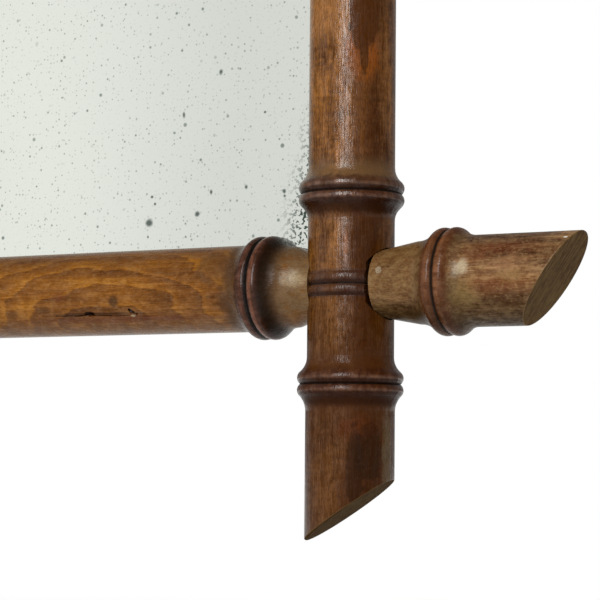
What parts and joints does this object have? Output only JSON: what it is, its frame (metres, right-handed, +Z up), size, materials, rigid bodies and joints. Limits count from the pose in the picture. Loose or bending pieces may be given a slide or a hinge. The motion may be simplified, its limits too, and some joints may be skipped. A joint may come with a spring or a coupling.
{
  "type": "wall mirror",
  "caption": "Wall mirror: turned faux bamboo rods with ringed nodes cross at the corners and end in slanted finials around an old mirror plate, hung by back rings.",
  "frame": {"origin": "middle of the mirror: half its width and height, on the plane that holds the axes of the four rods", "axes": "+X to the viewer's right, +Y from the viewer towards the wall, +Z up"},
  "size_m": [0.6962, 0.0464, 0.862],
  "materials": {
    "stained_beech": "turned beech, stained brown, waxed and worn",
    "peg_wood": "bare pale peg, end grain",
    "pine_boards": "sawn pine, aged, unfinished",
    "silvered_glass": "old silvered glass with foxing",
    "grey_card": "grey card",
    "iron_nails": "dull iron",
    "hanger_brass": "tarnished brass",
    "screw_steel": "slotted steel"
  },
  "bodies": {
    "frame": {"backboard_bottom": "pine_boards", "backboard_middle": "pine_boards", "backboard_sprigs": "iron_nails", "backboard_top": "pine_boards", "finial_bottom_left": "stained_beech", "finial_bottom_right": "stained_beech", "finial_pegs": "peg_wood", "finial_top_left": "stained_beech", "finial_top_right": "stained_beech", "hanger_screws_left": "screw_steel", "hanger_screws_right": "screw_steel", "hanger_strap_left": "hanger_brass", "hanger_strap_right": "hanger_brass", "mirror_plate": "silvered_glass", "packing_slips": "grey_card", "rail_bottom": "stained_beech", "rail_top": "stained_beech", "setting_blocks": "pine_boards", "stile_left": "stained_beech", "stile_right": "stained_beech"},
    "ring_left": {"hanger_ring_left": "hanger_brass"},
    "ring_right": {"hanger_ring_right": "hanger_brass"}
  },
  "joints": [
    {"name": "ring_left_swing", "type": "hinge", "parent": "frame", "child": "ring_left", "pos_m": [-0.24, 0.0202, 0.15], "axis": [1, 0, 0], "range_deg": [-4, 180]},
    {"name": "ring_right_swing", "type": "hinge", "parent": "frame", "child": "ring_right", "pos_m": [0.24, 0.0202, 0.15], "axis": [1, 0, 0], "range_deg": [-4, 180]}
  ]
}
